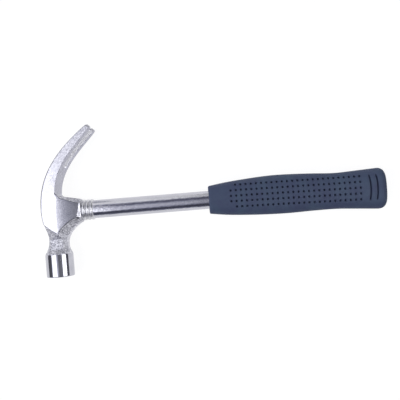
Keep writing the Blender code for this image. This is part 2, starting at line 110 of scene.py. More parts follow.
# ---- heights of the head's other edges ---------
SHOULDER_STEP = 0.3      # distance of the neck's first section from the poll's shoulder
NECK_EDGE_Z = (4.2, 3.5)     # lowest chamfer edge, at the poll and at the waist of the neck
NECK_INNER_Z = (10.6, 8.3)   # edges of the flat top
NECK_TOP_Z = (12.5, 9.7)     # middle of the flat top
NECK_INSET = 0.17        # share of the neck's width taken by each upper chamfer
NECK_WAIST_T = 0.62      # where the neck's narrowest section lies on its back outline
EDGE_SLIMMING = 2.0      # how early along the neck its edges come to their waist,
TOP_SLIMMING = 1.6       # and how early its top does
NECK_DRIFT = 0.08        # sideways shift of its flat top, as a share of the width
THROAT_START = 0.4       # share of the throat that keeps the height of the neck
JUNCTION_WIDTH = 0.35    # half width of the flat top where it runs out
JUNCTION_LAG = 0.21      # how far below its middle its sides end
FILLET_AT_JUNCTION = 0.28    # where the socket's fillet passes the junction
BAND_BACK_Z = (3.5, 4.2, 9.9)    # back edge at the waist, the junction and the cheek
BAND_FRONT_Z = (3.5, 4.0, 4.8)   # front edge at the waist, the junction and the socket
SOCKET_TOP_Z = (4.8, 5.6)    # edge of the socket's upper side, at its end and at the claw
BACK_CHAMFER = 0.04      # share of the back facet taken by its chamfer
# Where four sections meet the back outline, as fractions of it, and the ridge: the end of the
# cheek, both sides of the socket's end face, and the start of the socket's upper side.
CHEEK_BACK_T = (0.57, 0.66, 0.86, 0.88)
CHEEK_RIDGE_Y = (-12.0, -9.0, 1.0, 2.0)

# ---- outlines of the head in the middle plane, as cubic Bezier curves 
NECK_BACK = ((-12.2, -40.0), (-9.5, -35.5), (-7.4, -31.0), (-7.4, -24.0))
CHEEK_BACK = ((-7.4, -24.0), (-7.4, -16.0), (-11.2, -10.0), (-11.2, 2.0))
NECK_FRONT = ((12.4, -40.0), (10.9, -37.0), (9.8, -34.5), (9.8, -31.0))
SOCKET_FILLET = ((9.8, -31.0), (9.8, -21.4), (16.8, -14.8), (24.8, -10.7))
SOCKET_TOP = ((24.8, 10.8), (18.5, 12.1), (11.8, 13.6), (5.2, 15.0))
CLAW_CONVEX = ((-11.2, 2.0), (-11.6, 32.0), (5.6, 55.9), (38.3, CLAW_TIP_Y))
CLAW_CONCAVE = ((3.7, 15.0), (3.7, 41.0), (24.0, 57.6), (41.6, 76.7))

# Edges of the two large cheek facets, on the faces of the head.
JUNCTION = Vector((3.3, -20.2))  # where the ridge and both lower facet edges meet
FACET_FRONT_EDGE = (JUNCTION, (7.6, -14.9), (14.8, -8.4), (21.6, -6.6))
FACET_BACK_EDGE = (JUNCTION, (-0.8, -18.4), (-5.2, -14.9), (-9.2, -11.2))
FACET_TOP_EDGE = ((24.6, 6.4), (19.5, 8.2), (14.0, 10.1), (8.4, 12.2))

CLAW_LENGTH = 96.0       # length of the claw's curves
CLAW_START_T = 0.03      # first section of the claw, as a fraction of its curves
CLAW_CONVEX_Z = (10.4, 12.4)     # half width along the convex side, at the root and at the tips
CLAW_CONCAVE_Z = (12.3, POLL_RADIUS)
CLAW_EDGE = 0.5          # chamfer along all the claw's edges
CLAW_BACK_CHAMFER = 0.07         # shares of the claw's thickness where its side faces begin,
CLAW_FRONT_CHAMFER = (0.925, 0.86)   # and where they end, at the root and at the tips
CLAW_RIM = 0.97
TIP_ROUNDING = 1.5       # radius of the tips' outer edges
TIP_TURN = math.radians(80)      # how far that rounding turns before the flat tips
TIP_SETBACK = 3.2        # how far the corners of a tip lie behind its middle
TIP_TAPER = 7.0          # length over which a prong narrows to its round tip
TIP_LOW_Y = 50.0         # no part of the tips lies below this
PRONG_CENTRE_Z = 9.4
PRONG_HALF_WIDTH = 4.2

SLOT_ROOT = 0.385        # where the nail slot starts, as a fraction of the claw curves
SLOT_END = 1.06          # beyond the tips
SLOT_NARROW_Z = (1.2, 3.3)       # half width on the convex side, at its root and at the tips
SLOT_WIDE_Z = (4.6, 6.4)         # half width on the concave side
SLOT_BEVEL_DEPTH = 0.55  # share of the claw's thickness taken by the slot's bevel
SLOT_LIP = 0.03          # share of the claw's thickness where the slot's rough walls begin
SLOT_BEYOND = 0.8        # how far the cutter reaches out on the convex side, in thicknesses
SLOT_FLARE = 2.0         # extra half width at the tips
SLOT_FLARE_START = 0.86  # where the flare starts, as a fraction of the slot


def bezier(curve, t):
    """Point of a cubic Bezier curve at parameter t."""
    weights = ((1 - t) ** 3, 3 * (1 - t) ** 2 * t, 3 * (1 - t) * t * t, t ** 3)
    return Vector([sum(w * p[axis] for w, p in zip(weights, curve)) for axis in (0, 1)])


def mix(a, b, t):
    return a + (b - a) * t


def ease(t):
    """Smooth step from 0 to 1."""
    t = min(max(t, 0.0), 1.0)
    return t * t * (3 - 2 * t)


# ---- meshes ------------------------------------
SHARP_ANGLE = math.radians(35)   # edges sharper than this are shaded sharp
TURN_SEGMENTS = 96               # chords round the tube and round the bores


def add_object(mesh):
    """Object from a mesh in millimetres and hammer coordinates, placed in the frame."""
    mesh.transform(Matrix.Translation(ORIGIN) @ Matrix.Scale(MM, 4))
    mesh.shade_smooth()
    mesh.set_sharp_from_angle(angle=SHARP_ANGLE)
    result = bpy.data.objects.new(mesh.name, mesh)
    bpy.context.scene.collection.objects.link(result)
    return result


def bm_to_mesh(name, bm):
    bmesh.ops.recalc_face_normals(bm, faces=bm.faces)
    mesh = bpy.data.meshes.new(name)
    bm.to_mesh(mesh)
    bm.free()
    return mesh


def bridge(bm, loop, following):
    """Band of faces between two closed loops with the same number of vertices."""
    for i in range(len(loop)):
        j = (i + 1) % len(loop)
        bm.faces.new((loop[i], loop[j], following[j], following[i]))


def loft_mesh(name, rings):
    """Closed body through rings that all have the same number of points."""
    bm = bmesh.new()
    loops = [[bm.verts.new(point) for point in ring] for ring in rings]
    for loop, following in zip(loops, loops[1:]):
        bridge(bm, loop, following)
    for loop in (loops[0], loops[-1]):
        centre = bm.verts.new(sum((vert.co for vert in loop), Vector()) / len(loop))
        for first, second in zip(loop, loop[1:] + loop[:1]):
            bm.faces.new((first, second, centre))
    return bm_to_mesh(name, bm)


def turned_ring(x, radius):
    """Circle about the shaft's axis."""
    turn = [2 * math.pi * i / TURN_SEGMENTS for i in range(TURN_SEGMENTS)]
    return [Vector((x, radius * math.cos(a), radius * math.sin(a))) for a in turn]


def turned_mesh(name, profile):
    """Body turned about the shaft's axis from a closed loop of (x, radius) points."""
    bm = bmesh.new()
    loops = [[bm.verts.new(point) for point in turned_ring(x, radius)] for x, radius in profile]
    for loop, following in zip(loops, loops[1:] + loops[:1]):
        bridge(bm, loop, following)
    return bm_to_mesh(name, bm)


def rod_mesh(name, start_x, end_x, radius):
    """Solid rod along X."""
    return loft_mesh(name, [turned_ring(x, radius) for x in (start_x, end_x)])


def cut(piece, cutter_mesh):
    """Takes a closed body, in hammer coordinates, out of a piece."""
    cutter = add_object(cutter_mesh)
    boolean = piece.modifiers.new("Cut", "BOOLEAN")
    boolean.operation = "DIFFERENCE"
    boolean.object = cutter
    boolean.solver = "EXACT"
    depsgraph = bpy.context.evaluated_depsgraph_get()
    mesh = bpy.data.meshes.new_from_object(piece.evaluated_get(depsgraph))
    piece.modifiers.clear()
    piece.data = mesh
    piece.data.set_sharp_from_angle(angle=SHARP_ANGLE)
    bpy.data.objects.remove(cutter)


def set_material(piece, finish):
    piece.data.materials.clear()
    piece.data.materials.append(finish)


def paint(piece, name, domain, elements, share):
    """Writes a number on each vertex or face, worked out from the element itself."""
    values = piece.data.attributes.new(name, "FLOAT", domain).data
    for element, value in zip(elements, values):
        value.value = share(element)


def in_hammer(place):
    """Hammer coordinates of a place in the frame."""
    return (place - ORIGIN) / MM


# ---- head sections -----------------------------
# A section is a list of (point in the plane, height) corners of its upper half, from the back
# outline to the front outline. The lower half is its mirror image.
def section(back, back_z, inner_back, ridge, inner_front, front, front_z):
    """Corners of half a section; each inner corner is a (point, height) pair."""
    return [(back, 0.0), (back, back_z), inner_back, ridge, inner_front, (front, front_z), (front, 0.0)]


def ridge_point(y):
    return Vector((RIDGE_X + RIDGE_LEAN * y, y))


def facet_height(point):
    """Height of the cheek facets: a plane behind the ridge, a slightly crowned face before it."""
    offset = point.x - ridge_point(point.y).x
    if offset < 0:
        return RIDGE_HEIGHT + BACK_FALL * offset
    return RIDGE_HEIGHT - SOCKET_FALL * offset - SOCKET_CROWN * offset * offset


def on_facet(point):
    return (point, facet_height(point))


def neck_sections(count):
    """Eight-sided neck, from the poll's shoulder up to where the cheeks begin to swell."""
    sections = []
    for i in range(count + 1):
        s = i / count
        back, front = bezier(NECK_BACK, NECK_WAIST_T * s), bezier(NECK_FRONT, s)
        back.y += SHOULDER_STEP * (1 - s)
        front.y = back.y
        edge_z = mix(*NECK_EDGE_Z, ease(EDGE_SLIMMING * s))
        inner_z = mix(*NECK_INNER_Z, ease(TOP_SLIMMING * s))
        top_z = mix(*NECK_TOP_Z, ease(TOP_SLIMMING * s))
        middle = mix(back, front, 0.5 + NECK_DRIFT * s)
        sections.append(section(back, edge_z, (mix(back, front, NECK_INSET), inner_z), (middle, top_z),
                                (mix(front, back, NECK_INSET), inner_z), front, edge_z))
    return sections


def throat_sections(count):
    """From the neck to the junction, where the flat top of the neck runs up into a point."""
    flat_top = neck_sections(1)[-1][2:5]
    ends = [JUNCTION + Vector(shift) for shift in
            ((-JUNCTION_WIDTH, -JUNCTION_LAG), (0.0, 0.0), (JUNCTION_WIDTH, -JUNCTION_LAG))]
    sections = []
    for i in range(1, count + 1):
        s = i / count
        swell = ease((s - THROAT_START) / (1 - THROAT_START))
        back = bezier(NECK_BACK, mix(NECK_WAIST_T, 1.0, s))
        front = bezier(SOCKET_FILLET, FILLET_AT_JUNCTION * s)
        inner = []
        for (start, start_z), end in zip(flat_top, ends):
            point = Vector((mix(start.x, end.x, swell), mix(start.y, end.y, s)))
            inner.append((point, mix(start_z, facet_height(JUNCTION), swell)))
        sections.append(section(back, mix(*BAND_BACK_Z[:2], s), *inner, front, mix(*BAND_FRONT_Z[:2], s)))
    return sections


def cheek_sections(count):
    """The lower edges of both facets spread out from the junction to the back and the socket."""
    sections = []
    for i in range(1, count + 1):
        s = i / count
        back = bezier(CHEEK_BACK, CHEEK_BACK_T[0] * s)
        front = bezier(SOCKET_FILLET, mix(FILLET_AT_JUNCTION, 1.0, s))
        ridge = ridge_point(mix(JUNCTION.y, CHEEK_RIDGE_Y[0], s))
        sections.append(section(back, mix(*BAND_BACK_Z[1:], s), on_facet(bezier(FACET_BACK_EDGE, s)),
                                on_facet(ridge), on_facet(bezier(FACET_FRONT_EDGE, s)),
                                front, mix(*BAND_FRONT_Z[1:], s)))
    return sections


def across_cheeks(back_t, ridge_y, rim, front, front_z):
    """Section over both facets, from the back outline to an edge on the socket's side."""
    back = bezier(CHEEK_BACK, back_t)
    inner_back = mix(back, ridge_point(ridge_y), BACK_CHAMFER)
    return section(back, facet_height(back) - FACET_INSET, on_facet(inner_back),
                   on_facet(ridge_point(ridge_y)), on_facet(rim), front, front_z)


def socket_sections(count):
    """The end face of the socket, then its upper side back to the root of the claw."""
    stops = [i / count for i in range(count + 1)]
    sections = []
    for s in stops:
        y = mix(SOCKET_LOW_Y, SOCKET_HIGH_Y, s)
        front_z = SOCKET_END_Z - SOCKET_END_DROP * ease(1 - 2 * s)
        end_face = across_cheeks(mix(*CHEEK_BACK_T[1:3], s), mix(*CHEEK_RIDGE_Y[1:3], s),
                                 mix(RIM_LOW, RIM_HIGH, s),
                                 Vector((SOCKET_END_X + SOCKET_LIP, y)), front_z)
        end_face[-1] = (Vector((SOCKET_END_X, y)), 0.0)
        sections.append(end_face)
    for s in stops:
        sections.append(across_cheeks(mix(CHEEK_BACK_T[3], 1.0, s), mix(CHEEK_RIDGE_Y[3], RIDGE_TOP_Y, s),
                                      bezier(FACET_TOP_EDGE, s), bezier(SOCKET_TOP, s),
                                      mix(*SOCKET_TOP_Z, s)))
    return sections


def claw_stops(count, tip_steps=5):
    """Stops along the claw and how far the section is drawn in there, which rounds the tips."""
    tip_share = TIP_ROUNDING / CLAW_LENGTH
    stops = [(mix(CLAW_START_T, 1 - tip_share, i / count), 0.0) for i in range(count + 1)]
    for i in range(1, tip_steps + 1):
        turn = TIP_TURN * i / tip_steps
        reach = math.sin(turn) / math.sin(TIP_TURN)
        stops.append((1 - tip_share * (1 - reach), TIP_ROUNDING * (1 - math.cos(turn))))
    return stops


def claw_sections(count):
    """The claw's sections from its root to its tips, without the nail slot."""
    sections = []
    for t, inset in claw_stops(count):
        convex, concave = bezier(CLAW_CONVEX, t), bezier(CLAW_CONCAVE, t)
        inset_share = inset / (convex - concave).length
        convex, concave = mix(convex, concave, inset_share), mix(concave, convex, inset_share)
        convex_z = mix(*CLAW_CONVEX_Z, ease(t)) - inset
        concave_z = mix(*CLAW_CONCAVE_Z, t * t) - inset

        def side_at(share):
            return (mix(convex, concave, share), mix(convex_z, concave_z, share))
        sections.append(section(convex, convex_z - CLAW_EDGE, side_at(CLAW_BACK_CHAMFER),
                                side_at(mix(*CLAW_FRONT_CHAMFER, t)), side_at(CLAW_RIM),
                                concave, concave_z - CLAW_EDGE))
    return sections


# ---- head mesh ---------------------------------
# Rounding of each corner of a head section: middle, back edge, facet edge, ridge, and so on.
CORNER_RADII = (0.5, 1.0, 0.8, 1.1, 0.6, 0.8, 0.5, 0.8, 0.6, 1.1, 0.8, 1.0)
ROUNDING_LIMIT = 0.4     # largest share of an edge that the rounding of a corner takes
ARC_STEPS = 3            # points round a corner, less one
FLAT_STEPS = 6           # cells across a flat between two corners
CROWNED_FLATS = (3, 8)   # the flats between the ridge and the socket-side facet's edge
EYE_CUTTER_X = (-20.0, SOCKET_END_X + 5.0)   # past the head on both sides


def rounding_end(corner, neighbour, radius):
    """Where the rounding of a corner ends on the edge to its neighbour."""
    edge = neighbour - corner
    return corner + edge * min(radius / edge.length, ROUNDING_LIMIT)


def ring_of(corners, crowned=False):
    """Closed ring of 3D points from the upper half of a section, with its corners rounded."""
    sharp = [Vector((p.x, p.y, z)) for p, z in corners]
    sharp += [Vector((p.x, p.y, -z)) for p, z in reversed(corners[1:-1])]
    arcs = []
    befores, afters = sharp[-1:] + sharp[:-1], sharp[1:] + sharp[:1]
    steps = [k / ARC_STEPS for k in range(ARC_STEPS + 1)]
    for before, corner, after, radius in zip(befores, sharp, afters, CORNER_RADII):
        start, end = rounding_end(corner, before, radius), rounding_end(corner, after, radius)
        arcs.append([start * (1 - t) ** 2 + corner * 2 * t * (1 - t) + end * t * t for t in steps])
    ring = []
    for i, (arc, following) in enumerate(zip(arcs, arcs[1:] + arcs[:1])):
        flat = [mix(arc[-1], following[0], k / FLAT_STEPS) for k in range(1, FLAT_STEPS)]
        if crowned and i in CROWNED_FLATS:
            for point in flat:
                point.z = math.copysign(facet_height(point), point.z)
        ring += arc + flat
    return ring


def poll_ring(y, radius, count):
    """Round ring of the poll, which starts at the back of the head as a section's ring does."""
    ring = []
    for i in range(count):
        angle = math.pi - 2 * math.pi * (i - ARC_STEPS / 2) / count
        ring.append(Vector((radius * math.cos(angle), y, radius * math.sin(angle))))
    return ring


def poll_rings(count, chamfer_steps=3, barrel_steps=8):
    """The poll from the edge of its striking face, over the rounded chamfer, to its shoulder."""
    rings = []
    for i in range(chamfer_steps + 1):
        turn = math.pi / 2 * i / chamfer_steps
        rings.append(poll_ring(POLL_FACE_Y + POLL_CHAMFER * (1 - math.cos(turn)),
                               POLL_RADIUS - POLL_CHAMFER * (1 - math.sin(turn)), count))
    for i in range(1, barrel_steps + 1):
        y = mix(POLL_FACE_Y + POLL_CHAMFER, POLL_SHOULDER_Y, i / barrel_steps)
        rings.append(poll_ring(y, POLL_RADIUS, count))
    return rings


def head_rings(neck=16, throat=16, cheek=24, socket=8, claw=90):
    """The whole head from the striking face to the tips, with the numbers of its sections."""
    rings = [ring_of(half) for half in neck_sections(neck) + throat_sections(throat)]
    rings += [ring_of(half, crowned=True) for half in cheek_sections(cheek) + socket_sections(socket)]
    rings += [ring_of(half) for half in claw_sections(claw)]
    return poll_rings(len(rings[0])) + rings


def slot_rings(count=40):
    """Tapered nail slot whose edges are bevelled on the concave side of the claw."""
    outward = SLOT_BEYOND / 2
    lip_share = (SLOT_BEVEL_DEPTH - SLOT_LIP) / (SLOT_BEVEL_DEPTH + outward)
    rings = []
    for i in range(count + 1):
        t = mix(SLOT_ROOT, SLOT_END, i / count)
        convex, concave = bezier(CLAW_CONVEX, t), bezier(CLAW_CONCAVE, t)
        along = (t - SLOT_ROOT) / (1 - SLOT_ROOT)
        flare = SLOT_FLARE * ease((along - SLOT_FLARE_START) / (1 - SLOT_FLARE_START))
        narrow = mix(*SLOT_NARROW_Z, along) + flare
        wide = mix(*SLOT_WIDE_Z, along) + flare / 2
        outer = wide + (wide - narrow) * outward / SLOT_BEVEL_DEPTH
        corners = [(mix(concave, convex, depth), z) for depth, z in (
            (1 + SLOT_BEYOND, narrow), (SLOT_BEVEL_DEPTH, narrow),
            (SLOT_LIP, mix(narrow, outer, lip_share)), (-outward, outer))]
        upper = [Vector((p.x, p.y, z)) for p, z in corners]
        lower = [Vector((p.x, p.y, -z)) for p, z in reversed(corners)]
        rings.append(upper + lower)
    return rings


def round_tips(piece):
    """Draws the corners of both claw tips back along the claw, so that each ends round."""
    tip = mix(bezier(CLAW_CONVEX, 1.0), bezier(CLAW_CONCAVE, 1.0), 0.5)
    forward = (bezier(CLAW_CONVEX, 1.0) - bezier(CLAW_CONVEX, 0.96)).normalized()
    for vertex in piece.data.vertices:
        point = in_hammer(vertex.co)
        ahead = (point.xy - tip).dot(forward)
        if point.y < TIP_LOW_Y or ahead < -TIP_TAPER:
            continue
        off_centre = min(abs(abs(point.z) - PRONG_CENTRE_Z) / PRONG_HALF_WIDTH, 1.0)
        pull = TIP_SETBACK * (1 - math.sqrt(1 - off_centre ** 2)) * ease(1 + ahead / TIP_TAPER)
        vertex.co -= Vector((*forward, 0.0)) * pull * MM


# ---- finish of the forging, with its painted light and shade ---
# Values of the "finish" attribute, from the smoothest surface to the roughest.
POLISHED = 0.0           # turned poll
GROUND = 0.4             # cheek facets, and the claw's root
GROUND_DULL = 0.52       # the claw's tips
FORGED = 0.7             # neck, and the bands beside the facets
# Walls of the nail slot: rough sanded steel, whose colour is also lightened there as painted light.
SANDED_AND_LIT = 1.0             # walls of the nail slot

DULLING_START_Y = 25.0   # beyond this the ground claw grows duller,
DULLING_LENGTH = 30.0    # over this length
CLAW_ROOT_Y = 12.5       # everything beyond this is ground
FACET_MARGIN = 0.35      # how far from a facet's surface a face may lie and still be part of it
END_BEVEL_LOW_X = 21.0   # the ground bevel at the socket's end lies beyond this,
END_BEVEL_LOW_Z = 8.3    # and above this
CONCAVE_LOW_Y = 15.5     # the claw's concave side lies beyond this
CONCAVE_HALF_WIDTH = 12.6
CONCAVE_DEPTH = 0.08     # how far below the concave curve its faces may lie
SLOT_LOW_Y = 38.0        # the slot lies beyond this,
SLOT_REACH_Z = 9.0       # and nowhere reaches out further than this
SLOT_MARGIN = 0.1        # distance of its walls from the claw's outer surfaces
SLOT_WALL_T = (SLOT_ROOT - 0.03, 0.985)  # range of its walls along the claw's curves
CONVEX_FACING = 0.3      # faces turned this far outwards belong to the claw's outside

# Closely spaced points of the claw's concave curve.
CLAW_STOPS = [(t, bezier(CLAW_CONCAVE, t)) for t in (i / 400 for i in range(401))]


def claw_place(point):
    """Where a point lies in the claw: along its curves, below its concave side, and the way across."""
    t, nearest = min(CLAW_STOPS, key=lambda stop: (stop[1] - point.xy).length)
    across = bezier(CLAW_CONVEX, t) - nearest
    return t, (point.xy - nearest).dot(across.normalized()), across


def in_slot(point, normal):
    """True on the walls of the nail slot, away from the claw's outer surfaces."""
    if point.y < SLOT_LOW_Y or abs(point.z) > SLOT_REACH_Z:
        return False
    t, depth, across = claw_place(point)
    if normal.xy.dot(across.normalized()) > CONVEX_FACING:
        return False
    first, last = SLOT_WALL_T
    return first < t < last and SLOT_MARGIN < depth < across.length - SLOT_MARGIN


# Faces of the claw's concave side, which get painted shade.
def on_concave_side(point):
    if point.y <= CONCAVE_LOW_Y or abs(point.z) >= CONCAVE_HALF_WIDTH:
        return False
    return claw_place(point)[1] < CONCAVE_DEPTH


def finish_of(point, normal):
    """How rough the steel was left on a face; on the slot walls the same value also lightens the colour as
    painted light.
    """
    if point.y < POLL_SHOULDER_Y + SHOULDER_STEP:
        return POLISHED
    if in_slot(point, normal):
        return SANDED_AND_LIT
    height = abs(point.z)
    on_facets = abs(height - facet_height(point)) < FACET_MARGIN and point.y > JUNCTION.y
    on_end_bevel = point.x > END_BEVEL_LOW_X and height > END_BEVEL_LOW_Z
    if point.y > CLAW_ROOT_Y or on_facets or on_end_bevel:
        return mix(GROUND, GROUND_DULL, ease((point.y - DULLING_START_Y) / DULLING_LENGTH))
    return FORGED


def make_head(finish):
    """One forging with its nail slot and its eye for the shaft."""
    head = add_object(loft_mesh("head_forging", head_rings()))
    cut(head, loft_mesh("cut_slot", slot_rings()))
    cut(head, rod_mesh("cut_eye", *EYE_CUTTER_X, TUBE_RADIUS + FIT_GAP))
    faces = head.data.polygons
    paint(head, "finish", "FACE", faces, lambda face: finish_of(in_hammer(face.center), face.normal))
    # Marks the claw's concave side, whose colour is darkened there as painted shade.
    paint(head, "inner", "FACE", faces, lambda face: float(on_concave_side(in_hammer(face.center))))
    round_tips(head)
    weighted = head.modifiers.new("Normals", "WEIGHTED_NORMAL")
    weighted.keep_sharp = True
    set_material(head, finish)
    return head


# ---- shaft -------------------------------------
def make_shaft(finish):
    """Drawn tube with three rolled beads below the head."""
    beads_end_x = BEAD_CENTRES_X[-1] + BEAD_HALF_WIDTH + BEAD_MARGIN
    profile = [(TUBE_END_X, TUBE_RADIUS), (beads_end_x, TUBE_RADIUS)]
    for centre in reversed(BEAD_CENTRES_X):
        for i in range(BEAD_STEPS + 1):
            angle = math.pi * i / BEAD_STEPS
            swell = (BEAD_RADIUS - TUBE_RADIUS) * math.sin(angle)
            profile.append((centre + BEAD_HALF_WIDTH * math.cos(angle), TUBE_RADIUS + swell))
    bore = TUBE_RADIUS - TUBE_WALL
    profile += [(TUBE_START_X, TUBE_RADIUS), (TUBE_START_X, bore), (TUBE_END_X, bore)]
    shaft = add_object(turned_mesh("drawn_tube", profile))
    paint(shaft, "rolled", "POINT", shaft.data.vertices,
          lambda vertex: float(in_hammer(vertex.co).x < beads_end_x - BEAD_MARGIN / 2))
    set_material(shaft, finish)
    return shaft


# ---- grip --------------------------------------
# Half heights of the grip above and below the shaft's axis, and half its thickness, at
# distances along the shaft: narrow front, full palm swell, waist, flared butt.
GRIP_STATIONS = (
    (GRIP_START_X, 13.0, 13.3, 11.7),
    (163.0, 15.4, 15.7, 12.4),
    (186.0, 17.4, 17.5, 12.9),
    (205.0, 18.4, 18.4, 13.0),
    (222.0, 18.2, 18.7, 13.0),
    (243.0, 17.2, 18.3, 12.8),
    (266.0, 15.8, 18.4, 12.5),
    (286.0, 16.5, 19.8, 12.7),
    (302.0, 17.2, 21.1, 13.0),
    (GRIP_END_X, 17.7, 21.8, 13.0),
)
FRONT_CHAMFER = ((0.0, 0.8), (0.3, 0.25), (0.8, 0.0))    # distances from the front end, and insets
FRONT_RINGS = 12         # rings from the chamfer to the first dimples
BUTT_ROUNDING = 7.0
BUTT_TURN = math.radians(82)     # how far the rounding turns before the flat butt end
BUTT_RINGS = 14
BUTT_START_X = GRIP_END_X - BUTT_ROUNDING
BORE_CUTTER_START_X = GRIP_START_X - 5.0

DIMPLE_COLUMNS = 26
HALF_ROWS = 2            # rows of dimples on each side of the middle one
DIMPLE_START_X = 166.4   # first column's centre
DIMPLE_PITCH_X = 4.81
DIMPLE_HALF_PITCH_X = DIMPLE_PITCH_X / 2
DIMPLE_ROW_PITCH = (5.05, 5.37)  # distance between rows, at the first and at the last column
MIDDLE_ROW_Y = (1.6, -0.6)       # place of the middle row there
DIMPLE_RADIUS = 1.0
DIMPLE_DEPTH = 1.5
DIMPLE_FLOOR = 0.55      # share of the radius with a flat floor
DIMPLE_WALL = 0.6        # share of the radius over which the wall rises
CELL_STEPS = 8           # mesh cells across the square around one dimple

GROOVES_X = (296.2, 302.6)
GROOVE_CENTRE_Y = -1.0
GROOVE_HALF_LENGTH = 10.6        # of its full depth
GROOVE_RUN_OUT = 1.8             # length over which its ends rise to the surface
GROOVE_HALF_WIDTH = 0.85
GROOVE_DEPTH = 1.4
GROOVE_FLOOR = 0.4       # share of the half width with a flat floor
GROOVE_WALL = 0.7        # share of the half width over which the wall rises
GROOVE_REACH = 1.3       # half width of a groove's lines of mesh, in half widths
GROOVE_LINES = 4         # lines of mesh on each side of a groove's middle
GROOVE_BOW = 0.0065      # how far a groove bends away from the butt, per square millimetre
BOW_START_X, BOW_START_LENGTH = 289.0, 5.0       # where the mesh starts to bend with the grooves,
BOW_END_X, BOW_END_LENGTH = 303.5, 3.0           # and where it straightens again

FACE_SHARE = 0.88        # how much of a section's height the faces' lines may take
SIDE_STEPS = 16          # mesh cells from the last line of the upper face round to the lower face


def grip_size(x):
    """Smooth curve through the grip's stations: half heights (up, down) and half thickness."""
    spans = list(zip(GRIP_STATIONS, GRIP_STATIONS[1:]))
    index = next((i for i, span in enumerate(spans) if x <= span[1][0]), len(spans) - 1)
    before = GRIP_STATIONS[max(index - 1, 0)]
    start, end = spans[index]
    after = GRIP_STATIONS[min(index + 2, len(GRIP_STATIONS) - 1)]
    length = end[0] - start[0]
    t = (x - start[0]) / length
    size = []
    for k in (1, 2, 3):
        slope_in = (end[k] - before[k]) / (end[0] - before[0]) * length
        slope_out = (after[k] - start[k]) / (after[0] - start[0]) * length
        size.append((2 * t ** 3 - 3 * t ** 2 + 1) * start[k] + (t ** 3 - 2 * t ** 2 + t) * slope_in
                    + (3 * t ** 2 - 2 * t ** 3) * end[k] + (t ** 3 - t ** 2) * slope_out)
    return size


def row_line(row, x):
    """Y of a row of dimples, counted from the middle one; rows fan out a little to the butt."""
    s = (x - DIMPLE_START_X) / (DIMPLE_PITCH_X * (DIMPLE_COLUMNS - 1))
    return mix(*MIDDLE_ROW_Y, s) + row * mix(*DIMPLE_ROW_PITCH, s)


def has_dimple(row, column):
    """The outer rows start one column later."""
    return column > 0 or abs(row) < HALF_ROWS


def dimple_warp(u, v):
    """Moves a point of a square cell, -1 to 1 each way, so that the cell's rings turn round."""
    reach = max(abs(u), abs(v))
    if reach == 0:
        return u, v
    roundness = 1 - ease((reach - 0.5) / 0.5)
    scale = mix(1.0, reach / math.hypot(u, v), roundness)
    return u * scale, v * scale


def dimple_fall(distance):
    """Depth of a dimple at a distance from its centre: a cup with a small rolled lip."""
    return DIMPLE_DEPTH * (1 - ease((distance / DIMPLE_RADIUS - DIMPLE_FLOOR) / DIMPLE_WALL))


def groove_fall(x, y):
    """Depth of the grooves at a point, before they are bent."""
    ends = 1 - ease((abs(y - GROOVE_CENTRE_Y) - GROOVE_HALF_LENGTH) / GROOVE_RUN_OUT)
    share = min(abs(x - centre) for centre in GROOVES_X) / GROOVE_HALF_WIDTH
    return GROOVE_DEPTH * (1 - ease((share - GROOVE_FLOOR) / GROOVE_WALL)) * ends


def groove_bend(x, y):
    """How far the mesh is drawn towards the head, so that the grooves become shallow bows."""
    bent = ease((x - BOW_START_X) / BOW_START_LENGTH) * (1 - ease((x - BOW_END_X) / BOW_END_LENGTH))
    return GROOVE_BOW * y * y * bent


def profile_z(y, up, down, thick):
    """Height of the grip's superellipse at a distance from the shaft's axis."""
    share = min(abs(y) / (up if y > 0 else down), 1.0)
    return thick * (1 - share ** GRIP_SQUARENESS) ** (1 / GRIP_SQUARENESS)


def face_lines():
    """Cells across a face of the grip, as (row of the cell, position in it from -1 to 1)."""
    lines = []
    for row in range(HALF_ROWS, -HALF_ROWS - 1, -1):
        lines += [(row, 1 - 2 * k / CELL_STEPS) for k in range(CELL_STEPS)]
    return lines + [(-HALF_ROWS, -1.0)]


def ring_stops():
    """Positions of the grip's rings along X: (x, cell column or None, place in the cell)."""
    first = DIMPLE_START_X - DIMPLE_HALF_PITCH_X
    last = first + DIMPLE_PITCH_X * DIMPLE_COLUMNS
    start = GRIP_START_X + FRONT_CHAMFER[-1][0]
    stops = [(mix(start, first, i / FRONT_RINGS), None, 0.0) for i in range(FRONT_RINGS)]
    for column in range(DIMPLE_COLUMNS):
        centre = DIMPLE_START_X + DIMPLE_PITCH_X * column
        for k in range(CELL_STEPS):
            u = 2 * k / CELL_STEPS - 1
            stops.append((centre + DIMPLE_HALF_PITCH_X * u, column, u))
    reach = GROOVE_HALF_WIDTH * GROOVE_REACH
    grooves = [centre + reach * k / GROOVE_LINES
               for centre in GROOVES_X for k in range(-GROOVE_LINES, GROOVE_LINES + 1)]
    marks = [mix(last, grooves[0], i / 3) for i in range(3)] + grooves + [BUTT_START_X]
    return stops + [(x, None, 0.0) for x in marks]


def side_points(start_y, up_or_down, thick, sign):
    """Points of a section from a face line round the edge to the other face, both left out."""
    start_angle = math.asin((abs(start_y) / up_or_down) ** (GRIP_SQUARENESS / 2))
    power = 2 / GRIP_SQUARENESS
    points = []
    for i in range(1, SIDE_STEPS):
        angle = mix(start_angle, math.pi - start_angle, i / SIDE_STEPS)
        rise, side = math.sin(angle), math.cos(angle)
        z = math.copysign(abs(side) ** power, side) * thick
        points.append((sign * rise ** power * up_or_down, z))
    return points


